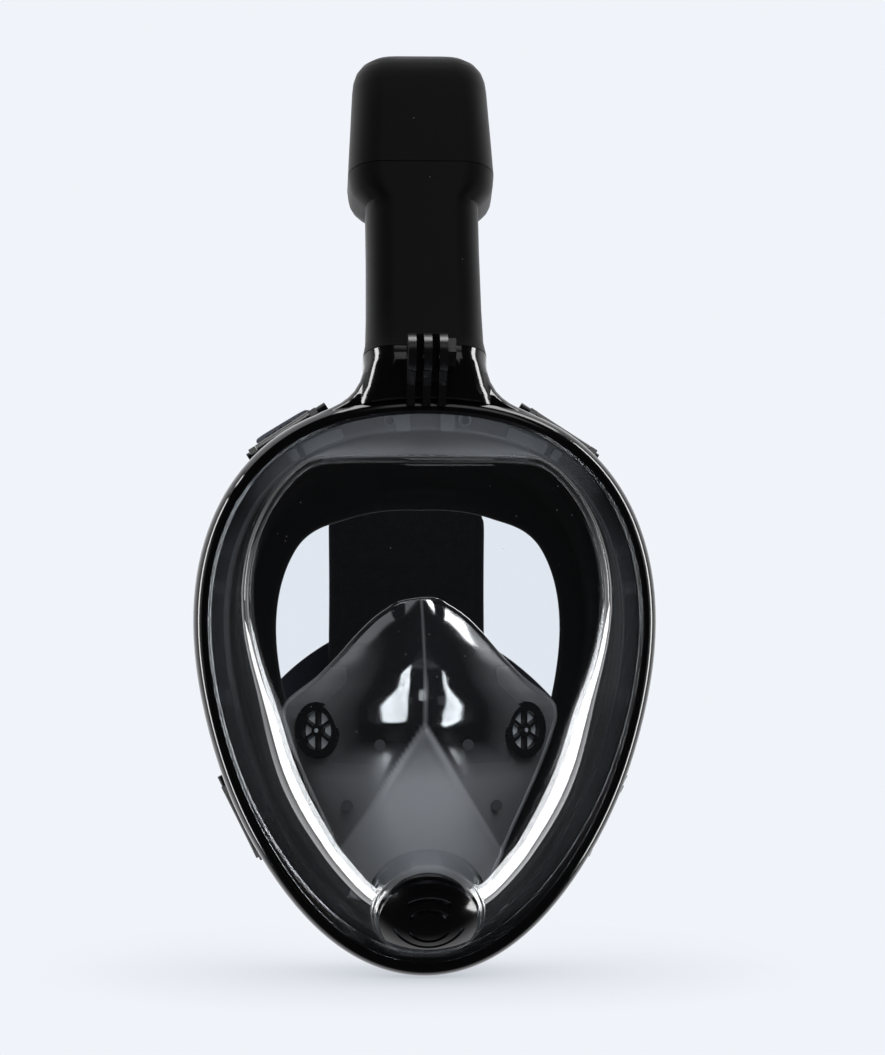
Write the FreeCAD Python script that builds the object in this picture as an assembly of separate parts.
import FreeCAD, Part
import math, os
from FreeCAD import Vector as V

# Full face snorkel mask with its tube, valves, camera mount, strap clips and straps.
# Millimetres, +Z up, the lens faces -Y and the wearer's face is on the +Y side.
# +X, called right, is to the right when the lens is looked at from the front.
# Origin: centre of the frame outline, in the plane of the lens seat.
# An "inset" is a distance inward from the frame outline.

os.makedirs("parts", exist_ok=True)

# Radius as a cosine series of the angle from +Z towards +X
OUTLINE = [100.909, 6.254, 12.477, -4.639, 0.143, -1.375, 0.071, -0.25]  # frame
RIDGE = [80.647, 11.5, 14.851, -3.907, -0.189, -1.613, 0.61, -0.585]     # lens ridge
RIDGE_TOP_Z = 89.7          # straight top edge of the lens front face

# Layers behind one another, as (front y, back y)
FLANGE = (-3.2, -0.7)       # lens flange
CLAMP = (-0.6, 2.4)         # clear retaining ring
BEAD = (2.5, 5.0)           # skirt bead
REAR = (5.1, 9.5)           # rear frame

RING_POINTS = 64            # interpolation points round the frame outline
DOME_POINTS = 72            # and round the lens
EX, EY, EZ = V(1, 0, 0), V(0, 1, 0), V(0, 0, 1)


# ---------------------------------------------------------------- shape helpers
def save(name, shape):
    shape.exportStep("parts/%s.step" % name)


def smooth(x, table):
    """Monotone cubic through a table of two rows: stations and values."""
    xs, ys = table
    n = len(xs)
    if x <= xs[0]:
        return ys[0]
    if x >= xs[-1]:
        return ys[-1]
    slopes = [(ys[i + 1] - ys[i]) / (xs[i + 1] - xs[i]) for i in range(n - 1)]
    tangents = [slopes[0]]
    for before, after in zip(slopes, slopes[1:]):
        turning = before * after <= 0
        tangents.append(0.0 if turning else 2 * before * after / (before + after))
    tangents.append(slopes[-1])
    i = next(i for i in range(n - 1) if x <= xs[i + 1])
    h = xs[i + 1] - xs[i]
    t = (x - xs[i]) / h
    return ((2 * t ** 3 - 3 * t ** 2 + 1) * ys[i]
            + (t ** 3 - 2 * t ** 2 + t) * h * tangents[i]
            + (-2 * t ** 3 + 3 * t ** 2) * ys[i + 1]
            + (t ** 3 - t ** 2) * h * tangents[i + 1])


def series(coeffs, a):
    return sum(c * math.cos(k * a) for k, c in enumerate(coeffs))


def series_slope(coeffs, a):
    return sum(-k * c * math.sin(k * a) for k, c in enumerate(coeffs))


def outline(a):
    """Frame outline at angle a: x, z and the outward normal's x, z."""
    r, dr = series(OUTLINE, a), series_slope(OUTLINE, a)
    sin, cos = math.sin(a), math.cos(a)
    dx, dz = dr * sin + r * cos, dr * cos - r * sin
    length = math.hypot(dx, dz)
    return r * sin, r * cos, -dz / length, dx / length


def outline_axes(a):
    """Outward normal and tangent of the outline."""
    _, _, nx, nz = outline(a)
    return V(nx, 0, nz), V(nz, 0, -nx)


def inset_point(a, inset, y):
    x, z, nx, nz = outline(a)
    return V(x - nx * inset, y, z - nz * inset)


def loop(point_at, count=RING_POINTS):
    """Closed smooth edge through point_at(angle)."""
    curve = Part.BSplineCurve()
    points = [point_at(2 * math.pi * i / count) for i in range(count)]
    curve.interpolate(Points=points, PeriodicFlag=True)
    return curve.toShape()


def outward(solid):
    """Turn an inside-out solid the right way."""
    if solid.Volume < 0:
        solid.reverse()
    return solid


def ring(profile):
    """Closed ring; profile(angle) lists the (inset, y) corners of its section."""
    edges = [loop(lambda a, i=i: inset_point(a, *profile(a)[i]))
             for i in range(len(profile(0)))]
    shell = Part.makeShell([Part.makeRuledSurface(edge, following)
                            for edge, following in zip(edges, edges[1:] + edges[:1])])
    shell.sewShape()
    if shell.ShapeType != "Shell":
        shell = Part.Shell(shell.Faces)
    return outward(Part.makeSolid(shell))


def outline_plate(inset, y0, y1):
    face = Part.Face(Part.Wire([loop(lambda a: inset_point(a, inset, y0))]))
    return face.extrude(V(0, y1 - y0, 0))


def box(x0, x1, y0, y1, z0, z1):
    return Part.makeBox(x1 - x0, y1 - y0, z1 - z0, V(x0, y0, z0))


def box_pair(x0, x1, *yz):
    """Left and right boxes, x0 to x1 from the middle plane."""
    return [box(-x1, -x0, *yz), box(x0, x1, *yz)]


def cyl(radius, base, axis, height):
    return Part.makeCylinder(radius, height, base, axis)


def prism(points, extent):
    return Part.Face(Part.makePolygon(points + [points[0]])).extrude(extent)


def loft(wires):
    return Part.makeLoft(wires, True, True)


def tidy(shape):
    # Merging split faces can fail on free-form surfaces; the shape is then kept as it is.
    try:
        return shape.removeSplitter()
    except Exception:
        return shape


def fuse(first, *others):
    return tidy(first.multiFuse(list(others)))


def biggest(shape):
    return max(shape.Solids, key=lambda s: s.Volume)


def turned(vector, axis, degrees):
    return FreeCAD.Rotation(axis, degrees).multVec(vector)


def rounded_rect(centre, u_axis, v_axis, half_u, half_v, radius):
    """Rounded rectangle wire in the plane of u_axis and v_axis."""
    radius = min(radius, half_u - 0.2, half_v - 0.2)
    bow = radius * math.sqrt(0.5)
    corners = []
    for su, sv in ((1, 1), (-1, 1), (-1, -1), (1, -1)):
        cu, cv = su * (half_u - radius), sv * (half_v - radius)
        arc = [(cu + su * radius, cv), (cu + su * bow, cv + sv * bow), (cu, cv + sv * radius)]
        arc = [centre + u_axis * u + v_axis * v for u, v in arc]
        corners.append(arc if su * sv > 0 else arc[::-1])
    edges = []
    for corner, following in zip(corners, corners[1:] + corners[:1]):
        edges.append(Part.Arc(*corner).toShape())
        edges.append(Part.makeLine(corner[2], following[0]))
    return Part.Wire(edges)


def hexagon(across_flats, base, height):
    """Hexagonal prism along +X."""
    r = across_flats / math.sqrt(3)
    angles = [math.pi / 3 * i for i in range(6)]
    return prism([base + V(0, r * math.cos(a), r * math.sin(a)) for a in angles], EX * height)


def valve_windows(centre, axis, inner_r, outer_r, spoke, start, end):
    """Six windows between two radii, parted by spokes; start and end lie along the axis."""
    base, extent = centre + axis * start, axis * (end - start)
    windows = cyl(outer_r, base, axis, end - start).cut(cyl(inner_r, base, axis, end - start))
    level = axis.cross(EZ).normalize()
    for i in range(3):
        along = turned(level, axis, 60.0 * i + 30)
        side = axis.cross(along)
        bar = [base + along * u + side * v for u, v in
               ((-20, -spoke / 2), (20, -spoke / 2), (20, spoke / 2), (-20, spoke / 2))]
        windows = windows.cut(prism(bar, extent))
    return windows


# ---------------------------------------------------------------- chin valve axes
CHIN = V(0, -26, -87.4)     # chin valve centre
CHIN_TILT = math.radians(35.0)   # valve axis below the horizontal
CHIN_AXIS = V(0, -math.cos(CHIN_TILT), -math.sin(CHIN_TILT))   # outward
CHIN_UP = V(0, -math.sin(CHIN_TILT), math.cos(CHIN_TILT))      # up, in the valve plane
CHIN_COLLAR_R = 22.3
CHIN_CAP_R = 19.0
CHIN_BORE_R = 13.2
CHIN_SEAT_R = 13.1
CHIN_RIM_R, CHIN_RIM_INSET = 16.0, 12.6    # seat rim and gasket, cut off along the frame


def chin_disc(radius, start, end):
    return cyl(radius, CHIN + CHIN_AXIS * start, CHIN_AXIS, end - start)


def within(inset):
    """Deep plate that keeps only what is inside the inset outline."""
    return outline_plate(inset, -70, 20)


# ---------------------------------------------------------------- lens
LENS_WALL = 2.5
LENS_FOOT = 4.0             # inset of the flange edge
LENS_BULGE_R = 190.0        # sideways curvature of the front face
LENS_DEPTH = (              # rows: z, distance of the front face before y = 0
    [-135, -112, -105, -98, -91, -83, -75, -60, -40, 0, 40, 90, 130],
    [-6, 8, 15, 20.5, 25.5, 30, 33.5, 37, 37.5, 36, 33, 27, 21])
BLEND = 0.55                # sharpness of the blend into the straight top edge


def ridge_radius(a):
    """Ridge series, softly limited by the straight top edge."""
    curved = series(RIDGE, a)
    cos = math.cos(a)
    if cos < 0.25:
        return curved
    straight = RIDGE_TOP_Z / cos
    total = math.exp(-BLEND * (curved - 90)) + math.exp(-BLEND * (straight - 90))
    return -math.log(total) / BLEND + 90


def dome(offset, back, foot=None):
    """Closed dome shrunk by offset, flat at y = back; foot is the inset of its flange."""
    def base(a, y):
        return inset_point(a, 14.3 - 0.7 * math.cos(a) + offset, y)

    def face(a, f):
        r = (ridge_radius(a) - offset * 0.9) * f
        x, z = r * math.sin(a), r * math.cos(a)
        depth = smooth(z, LENS_DEPTH) - x * x / (2 * LENS_BULGE_R)
        return V(x, -(depth - offset), z)

    def wall(a, f):
        start = base(a, FLANGE[0])
        return start + (face(a, 1.0) - start) * f

    def tip(a):
        p = face(a, 0.08)
        return V(p.x, face(0, 0.0).y, p.z)

    if foot is None:
        sections = [lambda a: base(a, back)]
    else:
        sections = [lambda a: inset_point(a, foot, back),
                    lambda a: inset_point(a, foot, FLANGE[0])]
    sections += [lambda a: base(a, FLANGE[0]),
                 lambda a: wall(a, 0.5),
                 lambda a: wall(a, 0.93),
                 lambda a: (wall(a, 0.985) + face(a, 0.985)) * 0.5]
    sections += [lambda a, f=f: face(a, f) for f in (0.95, 0.8, 0.62, 0.44, 0.26)]
    sections.append(tip)
    edges = [loop(section, DOME_POINTS) for section in sections]
    faces = [Part.makeRuledSurface(e0, e1) for e0, e1 in zip(edges, edges[1:])]
    faces += [Part.Face(Part.Wire([edges[0]])), Part.Face(Part.Wire([edges[-1]]))]
    shell = Part.makeShell(faces)
    shell.sewShape()
    return outward(Part.makeSolid(Part.Shell(shell.Faces)))


def lens():
    outer = dome(0.0, FLANGE[1], LENS_FOOT)
    inner = dome(LENS_WALL, 6.0)
    collar = fuse(chin_disc(CHIN_COLLAR_R, -24, -0.6), chin_disc(20.6, -0.7, 1.4))
    collar = collar.common(within(10.25)).common(box(-40, 40, -60, -0.75, -130, -50))
    pocket = chin_disc(16.6, -26, -4.0).common(within(12.1))
    body = outer.fuse(collar).cut(inner)
    body = body.cut(pocket.fuse(chin_disc(CHIN_BORE_R, -30, 10)))
    # two round holes and a rectangular one near the top of the flange
    holes = [cyl(1.7, V(x, 5, z), V(0, -1, 0), 20) for x, z in ((-13.9, 103.9), (15.5, 104.2))]
    return biggest(tidy(body.cut(holes + [box(-37.8, -32.2, -5, 5, 98.0, 101.2)])))


# ---------------------------------------------------------------- snorkel tube axes
TUBE_TILT = math.radians(22.0)      # the tube leans back
TUBE_BASE = V(0, 6.0, 126.8)
TUBE_UP = V(0, math.sin(TUBE_TILT), math.cos(TUBE_TILT))       # along the tube
TUBE_BACK = V(0, math.cos(TUBE_TILT), -math.sin(TUBE_TILT))    # across the tube
PLUG_LEN = 9.0


def tube_section(height, half_width, half_depth, radius, shift=0.0):
    """Section across the tube, height up from its base, shifted towards its back."""
    centre = TUBE_BASE + TUBE_UP * height + TUBE_BACK * shift
    return rounded_rect(centre, EX, TUBE_BACK, half_width, half_depth, radius)


def tube_loft(*stations):
    return loft([tube_section(*station) for station in stations])


# ---------------------------------------------------------------- front frame
FRAME_FRONT, FRAME_BACK = -9.8, 10.0
FRAME_WALL = 3.5
LIP = 7.2                   # visible width of the front lip
LIP_EXTRA_BOTTOM = 2.8      # added to it at the chin
SNAP_INSET = 2.4            # groove for the rear frame's snap bead

# Upright box of the tube socket: z, half width, front y, back y, corner radius
UPRIGHT = [(99.5, 29.0, -6.0, 23, 6), (107.0, 28.4, -7.4, 23, 8), (110.5, 27.8, -9.6, 23, 8.5),
           (114.0, 27.0, -11.9, 23, 9.5), (117.0, 26.0, -12.3, 22.9, 10.5)]
# and its upper end, as tube sections
UPRIGHT_TOP = [(-5.2, 24.2, 16.8, 12), (-2.6, 24.2, 16.6, 12), (-0.15, 24.3, 16.6, 12)]
# Flared web between the socket and the frame: z, half width
FLARE = [(99.0, 51.0), (102.5, 49.0), (104.6, 46.0), (106.9, 41.2), (108.8, 37.0),
         (110.6, 33.4), (112.8, 30.3), (115.2, 27.9), (119.0, 25.6), (122.4, 24.4)]

COVER_Y = 20.6              # seat of the socket cover
COVER_HALF_X, COVER_HALF_Z, COVER_Z, COVER_R = 25.0, 7.7, 112.1, 3
COVER_GAP = 0.15
SCREWS = [(x, z) for z in (107.0, 117.2) for x in (-22.6, 22.6)]


def frame_profile(a):
    lip = LIP + LIP_EXTRA_BOTTOM * (0.5 - 0.5 * math.cos(a)) ** 6
    drop = 0.55 * (lip - LIP)
    return [(0.6, FRAME_BACK), (0.15, 7.0), (0.0, 2.0), (0.05, -2.0), (0.35, -5.0),
            (1.1, -7.3), (2.3, -8.9), (3.8, -9.6), (5.2, FRAME_FRONT), (5.9, FRAME_FRONT),
            (6.4, -9.35), (lip - 0.15, -9.0 + drop), (lip, -8.8 + drop), (lip, -3.3),
            (FRAME_WALL, -3.3), (FRAME_WALL, 5.9), (SNAP_INSET, 5.9), (SNAP_INSET, 8.1),
            (FRAME_WALL, 8.1), (FRAME_WALL, FRAME_BACK)]


def level_section(z, half_width, y0, y1, radius):
    centre = V(0, (y0 + y1) / 2, z)
    return rounded_rect(centre, EX, EY, half_width, (y1 - y0) / 2, radius)


def tube_socket():
    upright = loft([level_section(*s) for s in UPRIGHT]
                   + [tube_section(*s) for s in UPRIGHT_TOP])
    flare = loft([level_section(z, half_width, -6.6 - 0.12 * max(0.0, z - 104), 9.9, 5)
                  for z, half_width in FLARE])
    socket = fuse(upright, flare)
    bore = tube_loft((-PLUG_LEN - 0.8, 21.3, 13.6, 9), (0.5, 21.3, 13.6, 9))
    # three air channels; the outer two are crossed by a ledge with a smaller opening
    channels = [box(-9.0, 9.0, 11.0, 20.4, 90, 121)]
    channels += box_pair(10.6, 20.4, 11.0, 20.4, 106.0, 119)
    channels += box_pair(10.6, 20.4, 11.0, 20.4, 90, 104.4)
    channels += box_pair(12.6, 18.4, 12.6, 18.8, 90, 119)
    keep_clear = [outline_plate(1.2, -20, 9.99), outline_plate(9.2, 9.9, 40)]
    return socket.cut(keep_clear + [bore] + channels)


def cover_plate(y, gap, thickness):
    wire = rounded_rect(V(0, y, COVER_Z), EX, EZ, COVER_HALF_X + gap, COVER_HALF_Z + gap,
                        COVER_R + gap)
    return Part.Face(wire).extrude(V(0, thickness, 0))


def front_frame():
    body = ring(frame_profile).fuse(tube_socket())
    left, right = box_pair(10.6, 20.4, 18, 30, 106.0, 118)
    cuts = [cover_plate(COVER_Y, COVER_GAP, 10), left, box(-9, 9, 18, 30, 105.0, 118), right]
    cuts += [cyl(1.06, V(x, 15.5, z), EY, 12) for x, z in SCREWS]
    return biggest(tidy(body.cut(cuts)))


def socket_cover():
    return cover_plate(COVER_Y + 0.1, 0, 1.9).cut([cyl(1.4, V(x, 18, z), EY, 10)
                                                   for x, z in SCREWS])


def cover_screws():
    tip_y = 16.0
    return Part.makeCompound([
        fuse(cyl(2.3, V(x, COVER_Y + 2.05, z), EY, 1.3),
             cyl(1.0, V(x, tip_y, z), EY, COVER_Y + 2.2 - tip_y)) for x, z in SCREWS])


# ---------------------------------------------------------------- retaining ring
RING_INSETS = (4.2, 13.2)
RECESS_ANGLES = (34, 62, 78, 96, 118, 140, 158)     # degrees, on both sides


def retaining_ring():
    near, far = RING_INSETS
    clamp = ring(lambda a: [(near, CLAMP[0]), (near, CLAMP[1]), (far, CLAMP[1]), (far, CLAMP[0])])
    # two square recesses at the top of the front face, then rounded ones round the ring
    for x, z in ((-7.1, 104.2), (9.0, 104.2)):
        clamp = clamp.cut(box(x - 2.4, x + 2.4, -1.0, 1.0, z - 2.6, z + 2.6))
    for degrees in RECESS_ANGLES:
        for sign in (1, -1):
            a = math.radians(sign * degrees)
            normal, tangent = outline_axes(a)
            wire = rounded_rect(inset_point(a, 8.8, CLAMP[0] - 0.5), tangent, normal, 5.5, 1.5, 0.6)
            clamp = clamp.cut(Part.Face(wire).extrude(V(0, 1.4, 0)))
    return biggest(clamp)


# ---------------------------------------------------------------- rear frame
# Places of the strap clips, degrees round the outline
CLIP_ANGLES = {"upper_left": -29.0, "upper_right": 29.0,
               "lower_left": -127.0, "lower_right": 127.0}
PIN_INSET, PIN_Y, PIN_R = 1.6, 16.0, 1.5
EAR = (12.6, 15.6)          # inner and outer face of an ear, from the clip's middle
# Side view of an ear from the pin: distance outward, y
EAR_SHAPE = [(-7.6, 9.0 - PIN_Y), (-5.0, 9.0 - PIN_Y), (-5.0, 10.3 - PIN_Y),
             (0.8, 10.3 - PIN_Y), (3.2, -2), (3.2, 1), (1.4, 3.2), (-1.6, 3.2), (-7.6, -3.4)]


def clip_frame(name):
    """Pin centre, outward normal and pin direction (upward) of a strap clip."""
    a = math.radians(CLIP_ANGLES[name])
    normal, along = outline_axes(a)
    if along.z < 0:
        along = along * -1
    return inset_point(a, PIN_INSET, PIN_Y), normal, along


def side_prism(origin, normal, shape, extent):
    """Prism from (outward, y) points about origin."""
    return prism([origin + normal * out + V(0, y, 0) for out, y in shape], extent)


def rear_profile(a):
    # the step out to inset 2.9 is the snap bead
    return [(4.0, REAR[0]), (4.0, 6.2), (2.9, 6.5), (2.9, 7.6), (4.0, 8.0), (4.0, REAR[1]),
            (9.5, REAR[1]), (9.5, REAR[0])]


def rear_frame():
    rear = ring(rear_profile)
    for name in CLIP_ANGLES:
        pin, normal, along = clip_frame(name)
        for start in (-EAR[1], EAR[0]):
            rear = rear.fuse(side_prism(pin + along * start, normal, EAR_SHAPE,
                                        along * (EAR[1] - EAR[0])))
        rear = rear.cut(cyl(PIN_R + 0.03, pin - along * 20, along, 40))
    return biggest(tidy(rear))


# ---------------------------------------------------------------- face skirt
SKIRT_ANGLES = [0, 25, 50, 80, 110, 140, 165, 180]      # degrees from the top
SKIRT_BACK = (SKIRT_ANGLES, [48, 52, 62, 68, 64, 56, 51, 50])     # rearmost y
SKIRT_WIDTH = (SKIRT_ANGLES, [45, 43, 36, 33, 32, 30, 28, 28])    # inset of the inner edge


def skirt_profile(a):
    degrees = abs(math.degrees(math.atan2(math.sin(a), math.cos(a))))
    back, width = smooth(degrees, SKIRT_BACK), smooth(degrees, SKIRT_WIDTH)
    return [(4.3, BEAD[0]), (12.0, BEAD[0]), (12.4, BEAD[1]), (13.4, 14.0), (14.0, 22.0),
            (13.6, back * 0.6), (14.4, back - 14), (17.0, back - 7), (22.0, back - 4.2),
            (width * 0.8, back - 5.6), (width - 1.0, back - 8.4), (width, back - 7.4),
            (width * 0.78, back - 2.2), (width * 0.6, back), (16.0, back - 0.8),
            (12.4, back - 4.0), (10.8, back - 10), (10.0, back * 0.6), (9.9, 22.0),
            (9.8, 9.6), (9.8, BEAD[1]), (4.3, BEAD[1])]


def face_skirt():
    channels = [box(-8.6, 8.6, 11.4, 20.0, 90, 121)] + box_pair(11.0, 20.0, 11.4, 20.0, 90, 119)
    return biggest(ring(skirt_profile).cut(channels))


# ---------------------------------------------------------------- nose pocket
# Rows: z, value
POCKET_HALF_WIDTH = ([-86, -75, -60, -45, -30, -20, -14, -10, -6, 0, 10, 18, 25, 28, 31, 33],
                     [25, 29.5, 36, 43, 49.5, 53, 54.5, 54, 50, 42, 32, 25, 18, 14, 9, 4.5])
POCKET_MIDDLE_Y = ([-86, -75, -60, -45, -35, -27, -20, -14, -6, 4, 14, 24, 33],
                   [26, 17, 12, 9.5, 8.0, 5.0, 0.5, -3.5, -5.5, -2.0, 6.0, 17, 29])
POCKET_EDGE_Y = ([-86, -60, -30, -10, 10, 25, 33], [34, 40, 43, 44, 40, 34, 31])
POCKET_POWER = ([-86, -50, -25, -10, 10, 33], [2.0, 1.9, 1.5, 1.35, 1.35, 1.6])
POCKET_LEVELS = [-86, -80, -72, -64, -56, -48, -40, -34, -28, -24, -20, -16, -12, -8, -4, 0,
                 5, 10, 15, 20, 24, 28, 31, 33]         # z of the loft sections
POCKET_WALL = 2.0
NOSE_ROUND = 2.0            # half width over which the middle is rounded
VALVE_X, VALVE_Z, VALVE_YAW = 41.0, -19.0, math.radians(42.0)
SIDES = {"left": -1, "right": 1}
STUDS = [(-17.4, -23.6), (17.4, -23.6), (-29.8, -48.7), (29.8, -48.7)]      # x, z


def pocket_y(x, z):
    """Front surface of the pocket."""
    half_width = smooth(z, POCKET_HALF_WIDTH)
    middle, edge = smooth(z, POCKET_MIDDLE_Y), smooth(z, POCKET_EDGE_Y)
    power = smooth(z, POCKET_POWER)
    reach = math.sqrt(half_width * half_width + NOSE_ROUND ** 2)
    t = min(1.0, math.sqrt(x * x + NOSE_ROUND ** 2) / reach)
    t0 = NOSE_ROUND / reach
    return middle + (edge - middle) * (t ** power - t0 ** power) / (1 - t0 ** power)


def spline(points):
    curve = Part.BSplineCurve()
    curve.interpolate(points)
    return curve.toShape()


def pocket_section(z):
    half_width = smooth(z, POCKET_HALF_WIDTH)
    shrink = (half_width - POCKET_WALL) / half_width
    steps = 12              # on each side of the middle
    xs = [half_width * math.sin(math.pi / 2 * (i - steps) / steps)
          for i in range(2 * steps + 1)]
    front = [V(x, pocket_y(x, z), z) for x in xs]
    back = [V(x * shrink, pocket_y(x, z) + POCKET_WALL, z) for x in xs]
    return Part.Wire([spline(front), Part.makeLine(front[-1], back[-1]),
                      spline(back), Part.makeLine(back[0], front[0])])


def intake_frame(sign):
    """Centre and outward axis of an intake valve."""
    axis = V(sign * math.sin(VALVE_YAW), -math.cos(VALVE_YAW), 0)
    return V(sign * VALVE_X, pocket_y(VALVE_X, VALVE_Z), VALVE_Z), axis


def stud_span(x, z):
    """Least and greatest pocket y under a stud."""
    steps = (-2.3, 0, 2.3)
    ys = [pocket_y(x + dx, z + dz) for dx in steps for dz in steps]
    return min(ys), max(ys)


def nose_pocket():
    body = loft([pocket_section(z) for z in POCKET_LEVELS])
    for sign in SIDES.values():
        centre, axis = intake_frame(sign)
        body = body.cut(cyl(10.2, centre - axis * 9, axis, 14))
        body = body.cut(cyl(11.6, centre + axis * 0.5, axis, 8))
    for x, z in STUDS:
        body = body.cut(cyl(1.45, V(x, stud_span(x, z)[0] - 5, z), EY, 20))
    return biggest(body)


def pocket_studs():
    studs = []
    for x, z in STUDS:
        y0, y1 = stud_span(x, z)
        studs.append(fuse(cyl(2.2, V(x, y0 - 1.1, z), EY, 1.0),
                          cyl(1.4, V(x, y0 - 0.2, z), EY, y1 - y0 + 4.4),
                          cyl(2.4, V(x, y1 + 4.0, z), EY, 1.0)))
    return Part.makeCompound(studs)


def intake_valve_seat(sign):
    centre, axis = intake_frame(sign)
    seat = fuse(cyl(10.1, centre - axis * 2.4, axis, 3.0),
                cyl(11.4, centre + axis * 0.6, axis, 0.9))
    seat = seat.cut(cyl(8.8, centre - axis * 3.0, axis, 2.0))
    seat = seat.cut(valve_windows(centre, axis, 2.6, 7.8, 1.3, -3, 3))
    return seat.cut(cyl(0.95, centre - axis * 3, axis, 8))


def intake_flap(sign):
    centre, axis = intake_frame(sign)
    return fuse(cyl(8.3, centre - axis * 1.85, axis, 0.8),
                cyl(0.85, centre - axis * 1.3, axis, 3.0))


# ---------------------------------------------------------------- chin valve
CAP_RISE = 5.5              # height of the domed front of the cap
CAP_RIM = 3.2               # where the dome starts, along the axis
CAP_WALL = 1.8
CAP_SPHERE_R = (CHIN_CAP_R ** 2 + CAP_RISE ** 2) / (2 * CAP_RISE)
# Arc slots: mid radius, arc centre up the valve plane, width, half angle, +1 up or -1 down
CAP_SLOTS = [(13.7, -0.5, 1.5, 38.0, 1), (8.9, -0.3, 1.5, 56.0, 1),
             (8.9, 2.6, 1.4, 58.0, -1), (14.9, 5.0, 1.4, 64.0, -1)]


def chin_valve_seat():
    seat = fuse(chin_disc(CHIN_SEAT_R, -4.2, -1.2),
                chin_disc(CHIN_RIM_R, -6.4, -4.5).common(within(CHIN_RIM_INSET)),
                chin_disc(CHIN_SEAT_R, -4.6, -4.1))
    seat = seat.cut(valve_windows(CHIN, CHIN_AXIS, 3.0, 10.6, 1.6, -8, 2))
    return seat.cut(chin_disc(1.25, -10, 10))


def chin_valve_gasket():
    disc = chin_disc(CHIN_RIM_R, -4.45, -4.05).common(within(CHIN_RIM_INSET))
    return disc.cut(chin_disc(13.4, -6, 0))


def chin_flap():
    return fuse(chin_disc(12.2, -1.15, -0.25), chin_disc(1.15, -6.0, -0.8))


def domed_disc(inset, back):
    radius = CHIN_CAP_R - inset
    centre = CHIN + CHIN_AXIS * (CAP_RIM + CAP_RISE - CAP_SPHERE_R)
    ball = Part.makeSphere(CAP_SPHERE_R - inset, centre)
    return chin_disc(radius, back, CAP_RIM).fuse(ball.common(chin_disc(radius, 3.1, 12)))


def arc_slot(radius, rise, width, half_angle, sign):
    centre = CHIN + CHIN_UP * rise
    depth, reach = 14, 60
    band = cyl(radius + width / 2, centre, CHIN_AXIS, depth).cut(
        cyl(radius - width / 2, centre, CHIN_AXIS, depth))
    middle = CHIN_UP * sign
    wedge = prism([centre,
                   centre + turned(middle, CHIN_AXIS, half_angle) * reach,
                   centre + middle * reach * 1.2,
                   centre + turned(middle, CHIN_AXIS, -half_angle) * reach], CHIN_AXIS * depth)
    return band.common(wedge)


def chin_valve_cap():
    cap = domed_disc(0, 1.5)
    cap = cap.cut(domed_disc(CAP_WALL, 1.0).common(within(14.6)))
    cap = cap.common(within(12.8))
    for slot in CAP_SLOTS:
        cap = cap.cut(arc_slot(*slot))
    return biggest(cap)


# ---------------------------------------------------------------- camera mount
MOUNT_Y, MOUNT_Z = -22.0, 129.7     # cross bore of the prongs
PRONG_T, PRONG_PITCH, PRONG_R, MOUNT_BORE_R = 3.1, 6.1, 7.4, 2.6
MOUNT_BACK_Y = -12.45
MOUNT_FOOT_Z = 109.3
MOUNT_TOP_Z = MOUNT_Z + PRONG_R
MOUNT_HALF = PRONG_PITCH + PRONG_T / 2
# Side view of a prong, without its round end: y, z
PRONG_SHAPE = [(MOUNT_Y, MOUNT_TOP_Z), (MOUNT_BACK_Y, MOUNT_TOP_Z),
               (MOUNT_BACK_Y, MOUNT_FOOT_Z), (MOUNT_BACK_Y - 2.4, MOUNT_FOOT_Z),
               (MOUNT_BACK_Y - 3.2, 117.0), (MOUNT_Y, MOUNT_Z - PRONG_R)]


def mount_point(x):
    return V(x, MOUNT_Y, MOUNT_Z)


def camera_mount():
    prongs = []
    for k in (-1, 0, 1):
        x0 = k * PRONG_PITCH - PRONG_T / 2
        body = prism([V(x0, y, z) for y, z in PRONG_SHAPE], EX * PRONG_T)
        prongs.append(body.fuse(cyl(PRONG_R, mount_point(x0), EX, PRONG_T)))
    half, back = MOUNT_HALF, MOUNT_BACK_Y
    mount = fuse(*prongs,
                 box(-half, half, back - 2.6, back, 118.7, 120.7),
                 box(-half, half, back - 1.8, back, 120.6, MOUNT_TOP_Z))
    mount = mount.fuse(hexagon(10.6, mount_point(half), 3.2))
    mount = mount.cut(cyl(MOUNT_BORE_R, mount_point(-20), EX, 40))
    return mount.cut(hexagon(8.12, mount_point(half + 0.4), 5))


def camera_mount_nut():
    nut = hexagon(8.0, mount_point(MOUNT_HALF + 0.45), 2.6)
    return nut.cut(cyl(MOUNT_BORE_R, mount_point(0), EX, 30))


# ---------------------------------------------------------------- snorkel tube
HEAD = 4.2                  # shift of the head's sections
DUCT = -5.6                 # shift of the inner duct
# Stations: height, half width, half depth, corner radius, shift
TUBE_OUTSIDE = [
    (0.15, 24.3, 16.6, 12, 0), (2.0, 24.0, 16.4, 12, 0), (6.0, 23.2, 16.1, 11.5, 0),
    (20.0, 22.7, 15.9, 11, 0), (45.0, 22.4, 15.8, 11, 0), (62.0, 22.4, 15.8, 11, 0),
    (65.6, 22.5, 15.8, 11, 0), (66.5, 23.6, 16.3, 11.5, 0.5), (68.9, 25.5, 17.5, 12, 1.7),
    (71.3, 27.2, 18.6, 13, 2.8), (74.0, 28.3, 19.4, 13.5, 3.6), (76.7, 28.8, 19.8, 13.5, 4.0),
    (80.9, 29.2, 20.0, 13.5, HEAD)]
TUBE_INSIDE = [
    (0.0, 19.5, 11.8, 8), (6.0, 20.8, 13.7, 9), (62.0, 19.9, 13.4, 9), (67.0, 20.1, 13.5, 9, 0.1),
    (71.0, 23.6, 15.6, 10, 2.2), (75.4, 26.0, 17.2, 11, 3.6), (81.5, 27.0, 17.8, 12, HEAD)]
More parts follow.
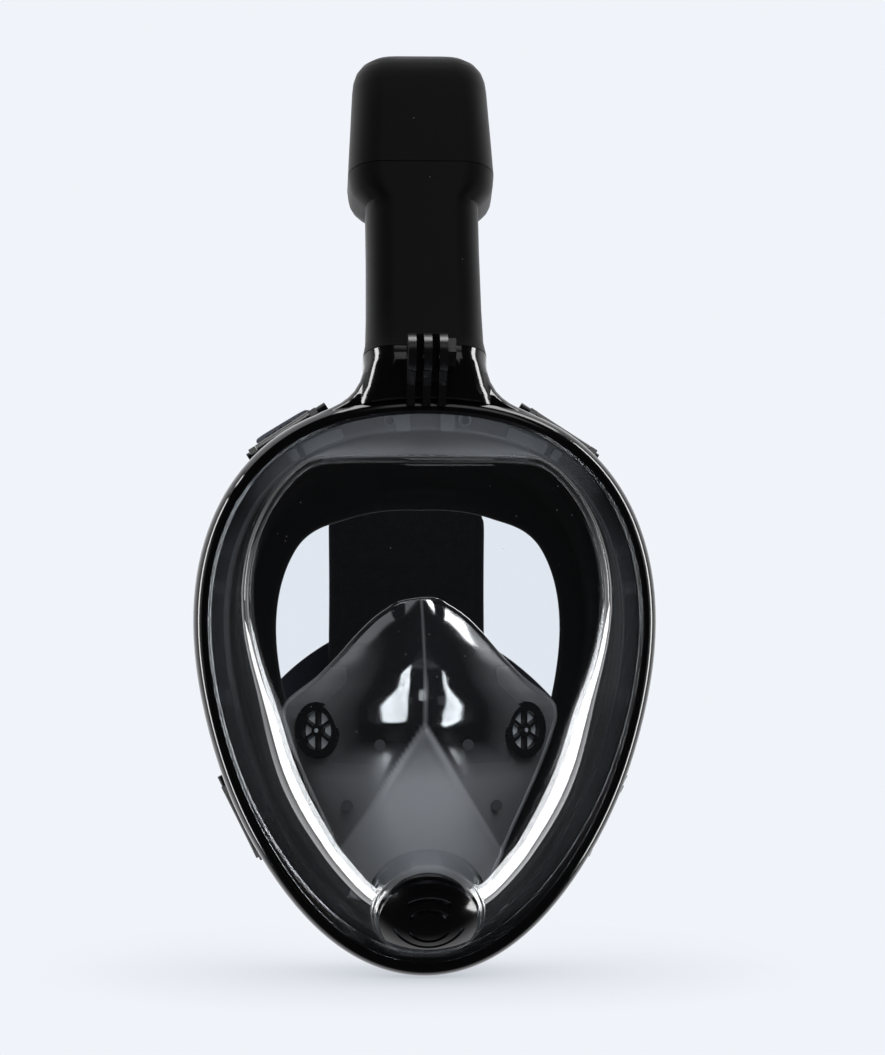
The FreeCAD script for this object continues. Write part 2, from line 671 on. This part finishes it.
HEAD_OUTSIDE = [
    (81.2, 29.2, 20.0, 13.5, HEAD), (95.0, 28.5, 19.9, 13.5, HEAD),
    (107.0, 27.8, 19.7, 13.5, HEAD), (118.0, 27.2, 19.4, 13.2, HEAD),
    (122.5, 26.7, 19.0, 13, HEAD), (126.0, 25.6, 18.2, 12.2, HEAD),
    (129.0, 23.6, 16.6, 11, HEAD), (131.3, 20.8, 14.2, 9.5, HEAD), (133.2, 16.9, 11.0, 8, HEAD)]
HEAD_INSIDE = [
    (81.0, 27.2, 18.0, 12, HEAD), (107.0, 25.8, 17.7, 12, HEAD), (118.0, 25.2, 17.4, 11.5, HEAD),
    (123.0, 24.2, 16.6, 11, HEAD), (127.6, 20.8, 13.6, 9, HEAD)]
# Duct sections: half width, half depth, corner radius
DUCT_OUTSIDE, DUCT_BORE, DUCT_CLEARANCE = (8.6, 4.6, 2), (7.4, 3.4, 1.4), (8.8, 4.8, 2)
BUTTON = TUBE_BASE + TUBE_UP * 13.0     # release button's place on the tube's middle line


def button_loft(*stations):
    """Stations: distance towards the tube's back, half width, half height, radius."""
    return loft([rounded_rect(BUTTON + TUBE_BACK * back, EX, TUBE_UP, *size)
                 for back, *size in stations])


def tube_shell():
    plug = tube_loft((-PLUG_LEN, 20.9, 13.2, 8.8), (0.3, 21.2, 13.5, 9))
    plug_bore = tube_loft((-PLUG_LEN - 1, 19.0, 11.3, 7.5), (1.0, 19.5, 11.8, 8))
    groove = tube_loft((-5.6, 30, 30, 5), (-3.2, 30, 30, 5)).cut(
        tube_loft((-6.0, 20.2, 12.5, 8.2), (-3.0, 20.2, 12.5, 8.2)))
    tube = fuse(tube_loft(*TUBE_OUTSIDE), plug)
    tube = tube.cut(tube_loft(*TUBE_INSIDE)).cut(plug_bore).cut(groove)
    # boss and well for the release button, at the back of the tube's foot
    boss = button_loft((9.6, 8.6, 5.8, 2), (15.0, 8.6, 5.8, 2))
    well = button_loft((11.2, 7.0, 4.2, 1.5), (20.0, 7.0, 4.2, 1.5))
    tube = fuse(tube, boss).cut(well)
    # spigot that locates the head
    spigot = tube_loft((78.0, 26.9, 17.8, 12, HEAD), (85.5, 26.2, 17.1, 12, HEAD)).cut(
        tube_loft((77.0, 24.9, 15.9, 11, HEAD), (86.0, 24.6, 15.5, 11, HEAD)))
    return biggest(fuse(tube, spigot))


def tube_gasket():
    return tube_loft((-5.5, 21.2, 13.5, 9), (-3.3, 21.2, 13.5, 9)).cut(
        tube_loft((-6.0, 20.25, 12.55, 8.2), (-3.0, 20.25, 12.55, 8.2)))


def duct_bar(bottom, top, size):
    return tube_loft((bottom, *size, DUCT), (top, *size, DUCT))


def inhale_duct():
    return duct_bar(-PLUG_LEN + 0.5, 98.0, DUCT_OUTSIDE).cut(
        duct_bar(-PLUG_LEN, 99.0, DUCT_BORE))


def float_chamber_cap():
    head = tube_loft(*HEAD_OUTSIDE).cut(tube_loft(*HEAD_INSIDE))
    head = head.cut(tube_loft((126.0, 13.0, 7.6, 5, HEAD), (134.0, 13.0, 7.6, 5, HEAD)))
    # row of five windows in the back
    for i in range(5):
        centre = TUBE_BASE + TUBE_UP * 93.0 + TUBE_BACK * 15.0 + EX * (-14.0 + 7.0 * i)
        window = Part.Face(rounded_rect(centre, EX, TUBE_UP, 2.1, 6.2, 1.6))
        head = head.cut(window.extrude(TUBE_BACK * 20))
    return biggest(head)


def head_top_plate():
    lid = tube_loft((133.25, 16.8, 10.9, 8, HEAD), (134.3, 12.6, 7.6, 6.5, HEAD),
                    (134.95, 7.5, 3.6, 3.2, HEAD))
    return lid.fuse(tube_loft((128.6, 12.9, 7.5, 5, HEAD), (133.6, 12.9, 7.5, 5, HEAD)))


# ---------------------------------------------------------------- float valve
PORT = TUBE_BASE + TUBE_BACK * 9.0      # axis of the air port and the float


def port_disc(radius, bottom, height):
    return cyl(radius, PORT + TUBE_UP * bottom, TUBE_UP, height)


def valve_cage():
    cage = tube_loft((106.0, 25.6, 17.4, 12, HEAD), (108.0, 25.6, 17.4, 12, HEAD))
    cage = cage.cut(port_disc(6.0, 100, 20))
    cage = cage.cut(duct_bar(105.0, 110.0, DUCT_BORE))
    cage = cage.fuse(duct_bar(98.2, 106.2, DUCT_OUTSIDE).cut(duct_bar(98.0, 107.0, DUCT_BORE)))
    # ribs that guide the float, on a ring below it
    for degrees in (45, 135, 225, 315):
        side = turned(EX, TUBE_UP, degrees)
        cage = cage.fuse(cyl(1.2, PORT + side * 10.4 + TUBE_UP * 87.5, TUBE_UP, 19.0))
    cage = cage.fuse(port_disc(12.0, 86.2, 1.6).cut(port_disc(6.5, 86, 3)))
    cage = tidy(cage.cut(duct_bar(80.0, 98.15, DUCT_CLEARANCE)))
    return biggest(cage.common(tube_loft(
        (85.0, 24.4, 15.3, 10, HEAD), (98.0, 24.9, 16.6, 10, HEAD),
        (109.0, 25.6, 17.4, 12, HEAD))))


def float_body():
    body = port_disc(9.0, 87.9, 7.8)
    body = body.fuse(Part.makeCone(9.0, 5.5, 2.0, PORT + TUBE_UP * 95.7, TUBE_UP))
    return fuse(body, port_disc(2.0, 97.5, 1.2))


# ---------------------------------------------------------------- release button
COIL_R, COIL_PITCH, COIL_WIRE_R = 2.6, 0.85, 0.3
COIL_STEPS, COIL_SECTIONS = 14.0, 36    # sections per turn and in all


def release_button():
    return button_loft((14.2, 6.94, 4.14, 1.45), (16.5, 6.94, 4.14, 1.45), (17.2, 6.3, 3.5, 1.2))


def release_spring():
    """Coil lofted through hexagons; its own z runs towards the tube's back."""
    wires = []
    for i in range(COIL_SECTIONS):
        a = 2 * math.pi * i / COIL_STEPS
        radial = V(math.cos(a), math.sin(a), 0)
        slope = COIL_PITCH / (2 * math.pi * COIL_R)
        forward = V(-math.sin(a), math.cos(a), slope).normalize()
        side = forward.cross(radial) * -1
        centre = V(0, 0, COIL_PITCH * i / COIL_STEPS) + radial * COIL_R
        points = []
        for k in range(6):
            b = k * math.pi / 3
            p = centre + (radial * math.cos(b) + side * math.sin(b)) * COIL_WIRE_R
            points.append(BUTTON + TUBE_BACK * (11.6 + p.z) + EX * p.x + TUBE_UP * p.y)
        wires.append(Part.makePolygon(points + [points[0]]))
    return outward(loft(wires))


# ---------------------------------------------------------------- strap clips and straps
STRAP_W, STRAP_T = 25.0, 1.8
STRAP_MARGIN = 1.5          # taken off each edge of the strap
CLIP_HALF = 12.4            # half width of a clip
CLIP_ARM = 3.2
LOOP_HALF = CLIP_HALF - 3.6
PAD_CENTRE = V(0, 168, 34)
# Strap curves: start handle back and outward, second handle (x, y, z), height of the end
# above the pad centre, width direction at the end (x, z). x is for the right side.
STRAP_ROUTES = {"upper": (50, 14, (36, 183.0, 108), 34, (0.90, -0.43)),
                "lower": (45, 10, (66, 187.0, -16), -28, (0.34, 0.94))}
# Side views from the pin or bar: distance outward, y
CLIP_ARM_SHAPE = [(-1.6, 1.0), (1.8, 1.0), (1.7, 20.0), (-1.3, 20.0)]
CLIP_BRIDGE_SHAPE = [(0.4, 0), (3.1, 0), (1.8, 7.0), (-1.2, 7.0)]
LOOP_TAIL_SHAPE = [(-0.9, 2.4), (0.9, 2.4), (1.1, 7.2), (-0.7, 7.2)]


def clip_pin(name):
    pin, _, along = clip_frame(name)
    return fuse(cyl(PIN_R, pin - along * 16.0, along, 32.2),
                cyl(2.9, pin + along * 15.65, along, 4.2),
                cyl(2.3, pin - along * 17.2, along, 1.5))


def rear_bar(name):
    """Centre of the clip's rear bar."""
    pin, normal, _ = clip_frame(name)
    return pin + V(0, 19.0, 0) + normal * 0.2


def strap_clip(name):
    pin, normal, along = clip_frame(name)
    end, width = pin - along * CLIP_HALF, 2 * CLIP_HALF
    clip = cyl(3.3, end, along, width)
    for start in (-CLIP_HALF, CLIP_HALF - CLIP_ARM):
        clip = clip.fuse(side_prism(pin + along * start, normal, CLIP_ARM_SHAPE,
                                    along * CLIP_ARM))
    clip = clip.fuse(cyl(1.7, rear_bar(name) - along * CLIP_HALF, along, width))
    clip = clip.fuse(side_prism(end, normal, CLIP_BRIDGE_SHAPE, along * width))
    return biggest(clip.cut(cyl(PIN_R + 0.06, pin - along * 30, along, 60)))


def strap_loop(name):
    """Webbing folded round the rear bar of the clip."""
    _, normal, along = clip_frame(name)
    bar = rear_bar(name)
    end, width = bar - along * LOOP_HALF, 2 * LOOP_HALF
    fold = cyl(3.4, end, along, width).cut(
        cyl(1.85, bar - along * (LOOP_HALF + 1), along, width + 2))
    return fuse(fold, side_prism(end, normal, LOOP_TAIL_SHAPE, along * width))


def bezier(points, t):
    p0, p1, p2, p3 = points
    s = 1 - t
    return p0 * (s ** 3) + p1 * (3 * s * s * t) + p2 * (3 * s * t * t) + p3 * (t ** 3)


def strap(name):
    pin, normal, width_start = clip_frame(name)
    level, side = name.split("_")
    sign = SIDES[side]
    back, out, (hx, hy, hz), end_rise, (wx, wz) = STRAP_ROUTES[level]
    start = pin + V(0, 27.5, 0) + normal * 0.4
    points = [start, start + V(0, back, 0) + normal * out, V(sign * hx, hy, hz),
              V(sign * 21, PAD_CENTRE.y + 3.8, PAD_CENTRE.z + end_rise)]
    width_end = V(sign * wx, 0.0, wz)
    if width_start.dot(width_end) < 0:
        width_start = width_start * -1
    half_w, half_t = STRAP_W / 2 - STRAP_MARGIN, STRAP_T / 2
    wires = []
    for i in range(15):
        t = i / 14.0
        centre = bezier(points, t)
        forward = bezier(points, min(1, t + 0.01)) - bezier(points, max(0, t - 0.01))
        forward.normalize()
        across = width_start * (1 - t) + width_end * t
        across = across - forward * across.dot(forward)
        across.normalize()
        thick = forward.cross(across)
        corners = [centre + across * u + thick * v for u, v in
                   ((-half_w, -half_t), (half_w, -half_t), (half_w, half_t), (-half_w, half_t))]
        wires.append(Part.makePolygon(corners + [corners[0]]))
    return loft(wires)


def strap_back_pad():
    return Part.Face(rounded_rect(PAD_CENTRE, EX, EZ, 36.0, 46.0, 18)).extrude(V(0, 2.2, 0))


# ---------------------------------------------------------------- all pieces
for piece in (lens, front_frame, retaining_ring, rear_frame, face_skirt, nose_pocket,
              pocket_studs, chin_valve_seat, chin_valve_gasket, chin_flap, chin_valve_cap,
              camera_mount, camera_mount_nut, socket_cover, cover_screws, tube_shell,
              tube_gasket, inhale_duct, float_chamber_cap, head_top_plate, valve_cage,
              release_button, release_spring, strap_back_pad):
    save(piece.__name__, piece())
save("float", float_body())
save("float_seal", port_disc(7.6, 98.75, 1.0))

# flaps on the ledges of the two outer air channels
exhale_flaps = box_pair(11.4, 19.6, 12.0, 19.6, 106.05, 106.85)
for (side, sign), flap in zip(SIDES.items(), exhale_flaps):
    save("intake_valve_seat_" + side, intake_valve_seat(sign))
    save("intake_flap_" + side, intake_flap(sign))
    save("exhale_flap_" + side, flap)

for name in CLIP_ANGLES:
    save("strap_clip_" + name, strap_clip(name))
    save("strap_loop_" + name, strap_loop(name))
    save("strap_" + name, strap(name))
save("clip_pins", Part.makeCompound([clip_pin(name) for name in CLIP_ANGLES]))
